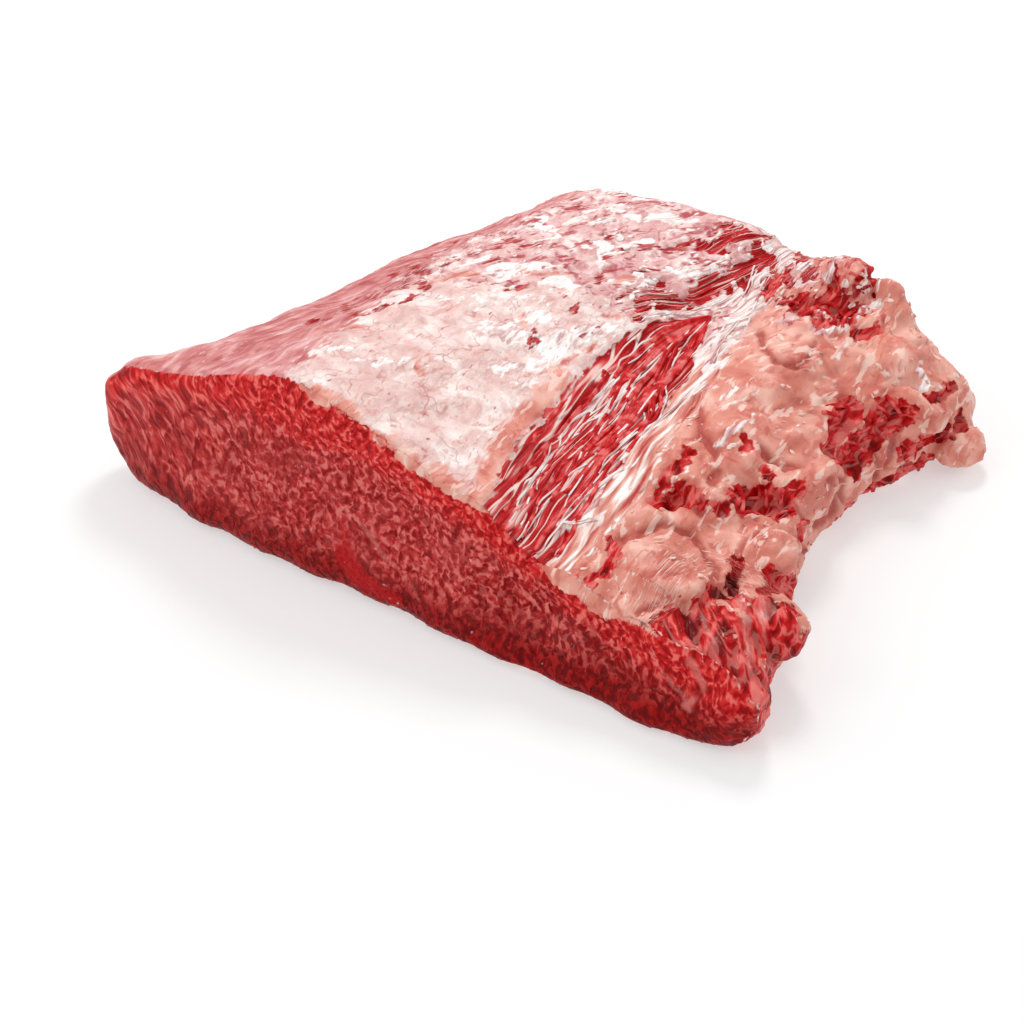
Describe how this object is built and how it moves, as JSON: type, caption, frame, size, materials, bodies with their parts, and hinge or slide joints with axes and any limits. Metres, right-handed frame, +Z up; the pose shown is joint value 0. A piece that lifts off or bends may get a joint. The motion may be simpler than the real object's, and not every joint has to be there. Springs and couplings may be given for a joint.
{
  "type": "raw beef brisket",
  "caption": "Thick wedge of raw beef brisket with one clean cut face across the grain, a pale fat cap on top and a ragged side of soft fat and lean.",
  "frame": {"origin": "middle of the bounding box's base, on the surface that the piece lies on", "axes": "+X along the cut face towards the thin corner, +Y along the grain away from the cut face, +Z up through the fat cap"},
  "size_m": [0.3247, 0.2516, 0.082],
  "materials": {
    "raw_beef": "moist, softly glossy raw meat, crimson on the cut face and pink to cream where fat covers it"
  },
  "bodies": {
    "root": {"brisket": "raw_beef"}
  },
  "joints": []
}
